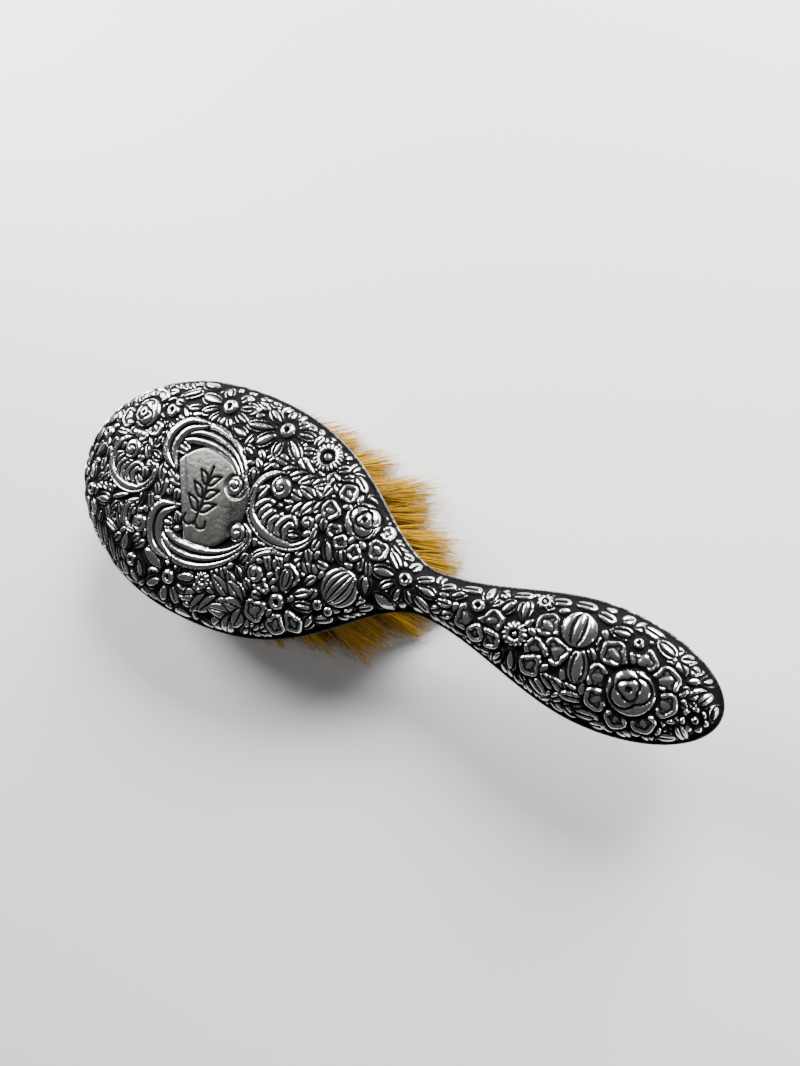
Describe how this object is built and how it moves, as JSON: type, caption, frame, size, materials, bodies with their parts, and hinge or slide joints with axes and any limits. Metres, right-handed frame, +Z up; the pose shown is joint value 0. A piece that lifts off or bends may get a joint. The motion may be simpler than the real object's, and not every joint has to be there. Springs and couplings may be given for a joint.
{
  "type": "vanity hairbrush",
  "caption": "Antique-style silver dressing-table hairbrush: a pear-shaped domed back and slim handle with chased flowers and scrolls, and natural bristles set in a wooden board.",
  "frame": {"origin": "on the plane that the bristle tips rest on, below the middle of the brush's length and width", "axes": "+X along the brush to the end of the handle, +Y across it, +Z up out of the ornamented back"},
  "size_m": [0.23, 0.0796, 0.0354],
  "materials": {
    "silver": "sterling silver, chased all over, polished high points and dark oxidised recesses",
    "board_wood": "pale varnished hardwood",
    "core_wood": "unfinished softwood, hidden",
    "cement": "hard dark setting cement, hidden",
    "wire": "thin drawn wire, hidden",
    "bristle": "straw-coloured natural boar bristle, darker towards the board"
  },
  "bodies": {
    "root": {"back_shell": "silver", "front_shell": "silver", "bristle_board": "board_wood", "rim_brads": "silver", "head_filling": "cement", "handle_core": "core_wood", "draw_wire_01": "wire", "draw_wire_02": "wire", "draw_wire_03": "wire", "draw_wire_04": "wire", "draw_wire_05": "wire", "draw_wire_06": "wire", "draw_wire_07": "wire", "draw_wire_08": "wire", "draw_wire_09": "wire", "draw_wire_10": "wire", "draw_wire_11": "wire", "draw_wire_12": "wire", "draw_wire_13": "wire", "bristle_row_01": "bristle", "bristle_row_02": "bristle", "bristle_row_03": "bristle", "bristle_row_04": "bristle", "bristle_row_05": "bristle", "bristle_row_06": "bristle", "bristle_row_07": "bristle", "bristle_row_08": "bristle", "bristle_row_09": "bristle", "bristle_row_10": "bristle", "bristle_row_11": "bristle", "bristle_row_12": "bristle", "bristle_row_13": "bristle"}
  },
  "joints": []
}
